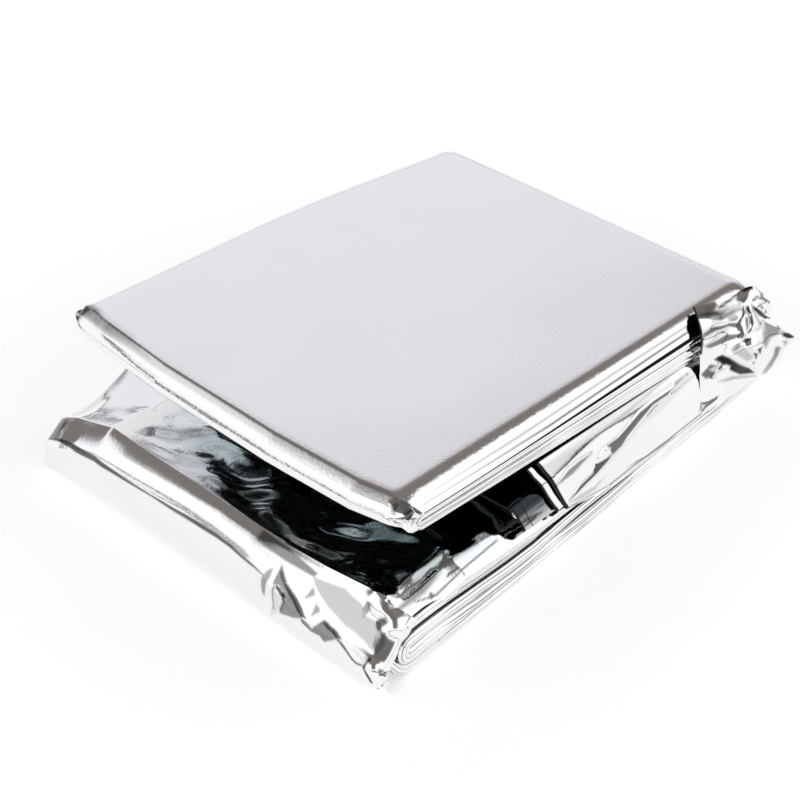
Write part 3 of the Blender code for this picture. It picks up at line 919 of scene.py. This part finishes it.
# The shade of these folds is painted shade and reflection on the foil
# Folds of the side cover: height, shade, softness, corners (along the packet, down)
COVER_FACETS = (
    (0, 0.22, 0.8, (
        (-19, 9.6), (-6, 9), (18, 8), (34, 7.6), (34, 8.2), (18, 9.6), (-4, 11.2), (-17, 12.8),
    )),
    (0, 0.42, 0.6, (
        (-14, 12), (-4, 10.8), (18, 9.2), (34, 8), (34, 8.3), (18, 9.7), (-4, 11.3), (-16.5, 12.8),
    )),
    (0.2, 0.66, 0.4, (
        (-16.9, 15.2), (-12.6, 13.6), (-8.6, 13.3), (-4.4, 13.5), (-6.6, 13.9), (-11.3, 14.9),
    )),
    (0.15, 0.14, 0.6, (
        (-12.2, 19.2), (-6.7, 18.6), (-1.1, 17.9), (6.9, 16), (11.6, 14.4), (18.3, 14.2), (28.1, 12.6),
        (33, 11.6), (28, 11.2), (18, 12), (11.5, 13.6), (4.5, 16.1), (-4.7, 18.2), (-10.4, 18.6),
    )),
    (0.2, 0.91, 0.3, (
        (-14.4, 20), (-10.4, 18.4), (-5.6, 17.7), (-4.1, 16.3), (-0.7, 16.5), (1.8, 16.2), (-0.3, 17.2),
        (-4.7, 18.3), (-8.5, 18.9),
    )),
    (0.2, 0.84, 0.3, (
        (0.1, 14), (4, 13.9), (8.4, 12.8), (12.3, 11.8), (17.9, 11.3), (24.4, 11.3), (22.3, 11.9),
        (16.9, 12), (11.5, 13.4), (7, 14.8), (4.5, 16), (1.4, 16.6),
    )),
    (0.3, 0, 0.4, ((-3.4, 15.6), (-1, 14.2), (1, 14.6), (0.6, 16), (-1.6, 16.2))),
    (0.1, 0.55, 0.3, ((25.8, 10.5), (30.5, 10.4), (28.8, 10.8), (25, 11.3))),
    (0.12, 0.34, 0.4, ((-15.2, 20.4), (-11.2, 20.2), (-6.2, 20.6), (-2, 20), (-6, 21.4), (-11, 21.3))),
    (0.1, 0.55, 0.3, (
        (4.5, 21.3), (9, 21.4), (13.9, 22), (18.8, 21.5), (21.8, 21.7), (16.9, 22.1), (11, 22.2),
    )),
    (0, 0.8, 0.25, (
        (-15.6, 21.2), (-9.5, 21.7), (-1.6, 22.6), (7.7, 21.8), (19.5, 21.3), (31.7, 20.4), (31.7, 20.7),
        (19.5, 21.6), (7.7, 22.1), (-1.6, 22.9), (-9.5, 22), (-15.6, 21.5),
    )),
)
# Streaks of painted shade on the tongue, as those of the cover
TONGUE_FACETS = (
    (0.05, 0.75, 0.25, ((-27, 34.7), (-8, 33.4), (-8, 33.7), (-27, 35.2))),
    (0.05, 0.55, 0.25, ((-28, 36), (-8, 34.9), (-8, 35.3), (-28, 36.5))),
    (-0.05, 0.8, 0.2, ((-26, 37.5), (-8, 36.2), (-8, 36.5), (-26, 37.7))),
    (0.05, 0.5, 0.25, ((-28, 38.3), (-8, 37.5), (-8, 37.8), (-28, 38.7))),
    (0, 0.85, 0.2, ((-28, 39.5), (-8, 38.7), (-8, 38.9), (-28, 39.7))),
)


def side_pieces(foil):
    """The side cover, its inner ply and the tongue below, each with a line of painted shade at its open end.
    """
    cover = side_sheet(
        "side_cover", cover_section, COVER_STEPS, (-19.75, -15.65), (50.5, 50.5), foil,
        facets=COVER_FACETS, rings=((0.0, 0.95),),
    )
    lining = side_sheet(
        "cover_lining", cover_section, COVER_STEPS, (-22.2, -18.0), (-10.0, -8.0), foil,
        inset=0.55, rings=((0.0, 0.7),),
    )
    tongue = side_sheet(
        "tongue_foil", tongue_section, TONGUE_STEPS, (-29.6, -27.4), (-8.0, -8.0), foil,
        facets=TONGUE_FACETS, rings=((0.0, 0.7), (2.65, 0.2)), shade=47.9,
    )
    return cover, lining, tongue


# ---------------------------------------------------------------- foil over the right hinge corner

# Sections from the ear's rim to the cover, places from the top down: the column and row where the camera sees
# each place in its image, and its x
CORNER_SECTIONS = (
    ((757, 285.5, 42.6), (770, 302, 45), (771, 317, 46), (781, 328, 49), (795, 338, 51.5), (785, 348, 50.5),
     (782, 356, 50), (775, 365, 49), (762, 377, 47.4)),
    ((748, 287, 41.3), (751, 307, 44), (754, 315, 45.4), (757, 325, 47), (758, 336, 48.4), (760, 347, 49.7),
     (761, 358, 49.9), (760, 368, 49.5), (757, 378, 48.4)),
    ((738, 292, 40.2), (740, 312, 43.5), (742, 321, 44.8), (744, 331, 46.2), (744, 340, 47.2),
     (745, 350, 48.3), (746, 364, 48.7), (747, 374, 48.7), (748, 382, 48.5)),
    ((722, 298.5, 39.6), (725, 319, 43.1), (728, 328, 44.1), (730, 337, 45.3), (731, 346, 46.3),
     (731, 357, 47.3), (731, 370, 47.9), (733, 380, 48.3), (734, 390, 48.6)),
    ((708, 303.5, 38.9), (711, 318, 41.9), (714, 330, 43.6), (716, 341, 44.9), (716, 350, 45.2),
     (716, 362, 45.5), (716, 376, 46.4), (718, 390, 47.4), (719, 401, 48.4)),
    ((693, 307, 38), (697, 318, 40.6), (700, 330, 42.6), (701, 343, 44.6), (700, 354, 44.4), (700, 366, 44.9),
     (700, 380, 45.7), (701, 398, 46.9), (702, 412, 48.3)),
)
SECTION_STEPS, PLACE_STEPS = 18, 9
SECTION_WIDTH, PLACE_HEIGHT = 4.5, 2.6  # about how far apart the sections and their places are
# The shade of these facets is painted shade and reflection on the foil
# Its facets: height, shade, softness, corners (round the corner from the ear's rim, down)
CORNER_FACETS = (
    # the roll under the top's edge and its stripes
    (0, 0.36, 0.5, (
        (22.6, 0.1), (18, 0.25), (13.5, 0.7), (9, 1.55), (6.3, 2.1), (7.4, 2.6), (11.4, 2.3), (14.2, 2.6),
        (17.6, 2.9), (22.6, 2.9),
    )),
    (-0.15, 0.85, 0.4, ((22.1, 2.1), (19.1, 1.5), (15.4, 1.3), (12.1, 1.5), (13.9, 1.95), (18.1, 2.2))),
    (-0.15, 0.8, 0.4, ((17.6, 2.8), (13.9, 1.9), (11.4, 1.8), (7.6, 2.3), (11.4, 2.25), (14.2, 2.6))),
    (0.1, 0.5, 0.3, ((13.1, 2.7), (11.7, 2.2), (10.1, 2.8), (10.1, 3.9), (11.3, 4))),
    # the top's corner
    (-0.1, 1, 0.25, ((14.8, 0.75), (9, 0.05), (8.8, 0.35), (12, 0.75), (14.2, 1.05))),
    (0.1, 0.45, 0.3, ((9.6, 1.3), (6.5, 1), (3.8, 0.5), (6.5, 1.35), (9.4, 1.65))),
    (0.15, 0.98, 0.25, ((8.6, -0.1), (4.9, -0.2), (2, -0.1), (2.8, 0.5), (6.6, 0.4))),
    (-0.1, 1, 0.25, (
        (3.8, 1.6), (2.2, 1.35), (0.9, 1.75), (0, 2.5), (0, 3), (1, 2.1), (2.2, 1.65), (3.6, 1.9),
    )),
    (-0.2, 1, 0.3, ((4.2, 2.2), (3.5, 2.7), (2.3, 3.9), (0.9, 5.4), (1.9, 6), (3, 5.2), (3.6, 4))),
    (-0.1, 0.96, 0.3, ((2.4, 2.6), (1.6, 3.3), (2, 3.7))),
    (-0.1, 0.96, 0.3, ((1.3, 3.6), (0.9, 4.4), (1.4, 4.6))),
    # painted shade along the edge of the cover over the bundle's end
    (0, 1, 0.25, ((22.9, -0.3), (22.1, -0.3), (21.9, 5), (21.8, 8), (21.9, 10.6), (22.9, 10.6))),
    # the bundle's end
    (-0.15, 0.82, 0.4, (
        (21.4, 5.9), (17.9, 4.5), (12.6, 3.9), (10.7, 5), (10.8, 6.3), (13.3, 4.7), (17.6, 5.5),
        (21.3, 6.6),
    )),
    (0, 0.4, 0.4, ((12.6, 4.8), (13.8, 5.2), (20.6, 8.9), (21.4, 8.4))),
    (-0.15, 0.8, 0.4, (
        (21.4, 8.8), (18.2, 7.9), (14.6, 6.8), (10.2, 8), (10.9, 8.8), (14.9, 8.8), (19.8, 9.6),
    )),
    # the diamond and the ribbon
    (0.25, 0.4, 0.3, ((7.4, 2.7), (10.5, 5.3), (9.4, 10), (6.8, 7.9), (6.2, 3.9))),
    (0, 0.05, 0.3, ((7.6, 3.7), (9.7, 5.6), (9.1, 9), (7.4, 7.6), (6.9, 4.3))),
    (-0.1, 0.96, 0.25, ((6.6, 2.3), (5.1, 2.2), (5.1, 4.1), (5.4, 5.9), (5.8, 3.9))),
    (0.2, 0.15, 0.4, ((5, 2.6), (3.4, 5.2), (3.8, 8.6), (6, 9.6), (8.2, 9.4), (6, 7.5), (5.5, 5.5))),
    (-0.1, 0.78, 0.25, ((6.3, 4.3), (5.7, 5.4), (5.8, 7.4), (6.5, 7))),
    (-0.2, 0.88, 0.3, ((9.6, 10.6), (8.4, 10), (5.9, 10.8), (8.6, 11.4))),
    (0, 0.62, 0.3, ((14.5, 11.2), (11.6, 10.5), (9.4, 10.7), (11.6, 11.1))),
    # the ear
    (0.15, 0.62, 0.4, (
        (2.6, 6.8), (0.6, 8.2), (1.8, 9.7), (2.8, 10.8), (3.3, 13.4), (3.9, 12.3), (3.8, 9.7),
    )),
    (-0.1, 0.96, 0.3, ((0.9, 8.9), (0, 9.2), (0, 10.3), (0.8, 10.7), (1.4, 10.2))),
    (-0.1, 1, 0.25, ((1.3, 11.2), (0.7, 11.4), (0.3, 12.4))),
    (0, 0.8, 0.4, ((1.6, 12.6), (0.7, 12.9), (1.1, 17.2), (0, 20.4), (3, 19.6), (2.5, 17.7), (1.9, 15.4))),
    # small facets between the ear and the hollow
    (0.1, 0.4, 0.5, ((14, 11.8), (9.6, 12), (6.4, 15), (8.5, 15.2))),
    (0.15, 0.15, 0.3, ((9.2, 12), (6.2, 12.3), (6.4, 14.8))),
    (-0.1, 0.92, 0.25, ((5.2, 13.5), (3.9, 12.9), (4.6, 14.8))),
    (-0.1, 0.85, 0.25, ((6.6, 14), (5.1, 14.3), (5.7, 15.8))),
    (-0.1, 1, 0.25, ((7.1, 15.7), (6.1, 16.3), (6.6, 16.6))),
    # the hollow below
    (-0.4, 1, 0.4, (
        (18.1, 12.6), (16.1, 11.9), (13.9, 13.1), (8.1, 16.9), (5.9, 19.3), (11.1, 17.7), (13.9, 15.5),
        (13.4, 14.9), (16.1, 13.9),
    )),
    (-0.3, 0.86, 0.4, ((22.1, 14.8), (19.4, 13.2), (16.6, 14), (18.7, 15.7), (20.7, 15.7))),
    (0.15, 0.3, 0.4, ((19.8, 14.2), (17.4, 13.7), (15.2, 14.9), (17.4, 15.2))),
    (0.15, 0.08, 0.3, ((15.8, 11.5), (14.8, 11.8), (5.2, 18.9), (4.2, 19.8), (3.6, 19.2), (8.3, 16))),
    (0.1, 0.45, 0.4, ((17.9, 16.6), (13.7, 17.1), (5.3, 20), (4.4, 20.6), (14.9, 17.7))),
)


def seen_at(column, row, x):
    """The place with this x that the camera sees at a column and row, to a tenth of a millimetre."""
    start = np.array(CAMERA_AT)
    ahead = CAMERA_TARGET - start
    right = np.cross(ahead, (0.0, 0.0, 1.0))
    up = np.cross(right, ahead)
    ahead, right, up = (axis / np.linalg.norm(axis) for axis in (ahead, right, up))
    middle = IMAGE_SIZE / 2
    ray = ahead * LENS / SENSOR * IMAGE_SIZE + right * (column - middle) + up * (middle - row)
    return np.round(start + ray * (x - start[0]) / ray[0], 1)


def corner_foil(material):
    """The crumpled foil over the hinge corner: the bundle's end, its pinched ear and the hollow below."""
    sections = np.array([[seen_at(*spot) for spot in section] for section in CORNER_SECTIONS])
    spread = smooth_rows(sections, [SECTION_STEPS] * (len(sections) - 1)).transpose(1, 0, 2)
    grid = smooth_rows(spread, [PLACE_STEPS] * (len(spread) - 1)).transpose(1, 0, 2)
    rows, columns = grid.shape[:2]
    around = np.broadcast_to((np.arange(rows) / SECTION_STEPS)[:, None], (rows, columns)) * SECTION_WIDTH
    down = np.broadcast_to(np.arange(columns) / PLACE_STEPS, (rows, columns)) * PLACE_HEIGHT
    lift, shade = facet_fields(around, down, CORNER_FACETS)
    return closed_sheet(
        "corner_foil", raised(grid, lift), (down, around), SIDE_THICKNESS, material,
        satin=shade * 0, deep=shade * 0, shade=shade,
    )


# ---------------------------------------------------------------- scene

FAR_SIDE, FAR_SIDE_START, FAR_SIDE_FULL = (-0.67, 0.74, 0.0), -0.1, 0.35
DIM = (0.16, 0.155, 0.15)
LAVENDER = (0.89, 0.872, 0.912)
WHITE = (1.2, 1.2, 1.2)
PALE = (0.92, 0.92, 0.94)
OVERHEAD = (0.20, 0.185, 0.172)
HORIZON = (0.10, 0.11, 0.12)
# Openings and panels of the tent: direction, cosines where it starts and where it is full, colour
SKY_PATCHES = (
    ((-0.965, -0.12, 0.21), 0.92, 0.975, OVERHEAD),
    ((0.0, 0.80, 0.60), 0.875, 0.985, OVERHEAD),
    ((0.418, 0.711, 0.564), 0.934, 0.957, WHITE),
    ((0.52, -0.577, 0.629), 0.86, 0.95, DIM),
)
FAR_SKY = (
    (0.0, HORIZON), (0.02, HORIZON), (0.06, LAVENDER), (0.590, LAVENDER), (0.700, OVERHEAD), (1.0, OVERHEAD)
)
NEAR_SKY = (
    (0.0, HORIZON), (0.02, HORIZON), (0.06, PALE), (0.20, WHITE), (0.58, WHITE), (0.74, OVERHEAD),
    (1.0, OVERHEAD),
)
FLOOR_SIZE, FLOOR_DEPTH = 6.0, 0.0001
FLOOR_COLOUR, FLOOR_GLOW = (0.86, 0.86, 0.86, 1.0), (1.0, 1.0, 1.0, 1.0)
FLOOR_ROUGHNESS, FLOOR_GLOW_STRENGTH = 0.9, 0.60


def gradient_world():
    """A light tent: pale sides, a darker opening overhead and a thin dark line at the horizon."""
    world = bpy.data.worlds.new("light_tent")
    bpy.context.scene.world = world
    world.use_nodes = True
    tree = world.node_tree
    where = add_node(tree, "ShaderNodeTexCoord").outputs["Generated"]
    height = add_node(tree, "ShaderNodeSeparateXYZ", {"Vector": where}).outputs["Z"]

    def ramp(stops):
        node = add_node(tree, "ShaderNodeValToRGB", {"Fac": height})
        elements = node.color_ramp.elements
        while len(elements) > 1:
            elements.remove(elements[-1])
        elements[0].position = stops[0][0]
        elements[0].color = (*stops[0][1], 1.0)
        for position, colour in stops[1:]:
            elements.new(position).color = (*colour, 1.0)
        return node.outputs["Color"]

    def towards(direction, start, full):
        """1 where the sky lies in a direction, from the cosines where it starts and where it is full."""
        inputs = {0: where, 1: direction}
        facing = add_node(tree, "ShaderNodeVectorMath", inputs, operation="DOT_PRODUCT").outputs["Value"]
        inputs = {"Value": facing, "From Min": start, "From Max": full}
        return add_node(tree, "ShaderNodeMapRange", inputs, interpolation_type="SMOOTHSTEP").outputs["Result"]

    lit = blended(tree, towards(FAR_SIDE, FAR_SIDE_START, FAR_SIDE_FULL), ramp(NEAR_SKY), ramp(FAR_SKY))
    for direction, start, full, colour in SKY_PATCHES:
        lit = blended(tree, towards(direction, start, full), lit, colour)
    tree.links.new(lit, tree.nodes["Background"].inputs["Color"])


def floor():
    bpy.ops.mesh.primitive_plane_add(size=FLOOR_SIZE, location=(0.0, 0.0, -FLOOR_DEPTH))
    plane = bpy.context.object
    plane.name = "floor"
    material = bpy.data.materials.new("pale_floor")
    material.use_nodes = True
    shader = material.node_tree.nodes["Principled BSDF"]
    shader.inputs["Base Color"].default_value = FLOOR_COLOUR
    shader.inputs["Roughness"].default_value = FLOOR_ROUGHNESS
    shader.inputs["Emission Color"].default_value = FLOOR_GLOW
    shader.inputs["Emission Strength"].default_value = FLOOR_GLOW_STRENGTH
    plane.data.materials.append(material)


def camera():
    data = bpy.data.cameras.new("camera")
    data.lens, data.sensor_width = LENS, SENSOR
    data.clip_start = NEAREST
    item = bpy.data.objects.new("camera", data)
    bpy.context.scene.collection.objects.link(item)
    item.location = place(CAMERA_AT)
    x, y, z = place(CAMERA_TARGET) - place(CAMERA_AT)
    item.rotation_euler = (math.atan2(math.hypot(x, y), -z), 0.0, math.atan2(-x, y))
    bpy.context.scene.camera = item


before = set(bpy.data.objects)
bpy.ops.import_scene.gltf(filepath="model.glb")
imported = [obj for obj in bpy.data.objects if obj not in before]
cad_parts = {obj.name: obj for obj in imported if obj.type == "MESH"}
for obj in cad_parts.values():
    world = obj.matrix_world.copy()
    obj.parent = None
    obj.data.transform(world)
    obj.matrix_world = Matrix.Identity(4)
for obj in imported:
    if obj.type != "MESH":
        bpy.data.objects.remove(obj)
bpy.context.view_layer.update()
bpy.ops.object.select_all(action="DESELECT")
bpy.context.scene.view_settings.view_transform = "Standard"
camera()
gradient_world()
floor()

grain = grain_group()
outer_foil = foil_material("silver_foil", grain, roughness=0.05, change=0.04, bump=0.25, grain_size=2600.0)
layer_foil = foil_material("layer_foil", grain, 0.10, 0.08, 0.35, 1800.0, deep_colour=PAINTED_CREVICE_SHADE)
add_ply_gap_shade_lines(layer_foil)
side_foil = foil_material("side_foil", grain, 0.05, 0.04, 0.08, 2600.0, deep_colour=TONGUE_GAP_SHADE)

plies = ply_layers(layer_foil)
upper = upper_leaf_foil(outer_foil)
lower = lower_leaf_foil(outer_foil)
cover, lining, tongue = side_pieces(side_foil)
corner = corner_foil(side_foil)

# Each sheet with its flat size in metres and what it rests on
sheets = (
    (plies, (0.093, 1.30), ()),
    (upper, (0.100, 0.180), (plies,)),
    (lower, (0.105, 0.080), (plies,)),
    (cover, (0.024, 0.070), (plies,)),
    (lining, (0.021, 0.012), (cover,)),
    (tongue, (0.042, 0.021), (plies,)),
    (corner, (0.026, 0.028), (plies,)),
)
for piece, flat, under in sheets:
    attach(piece, "root")
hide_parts("foil_blanket")
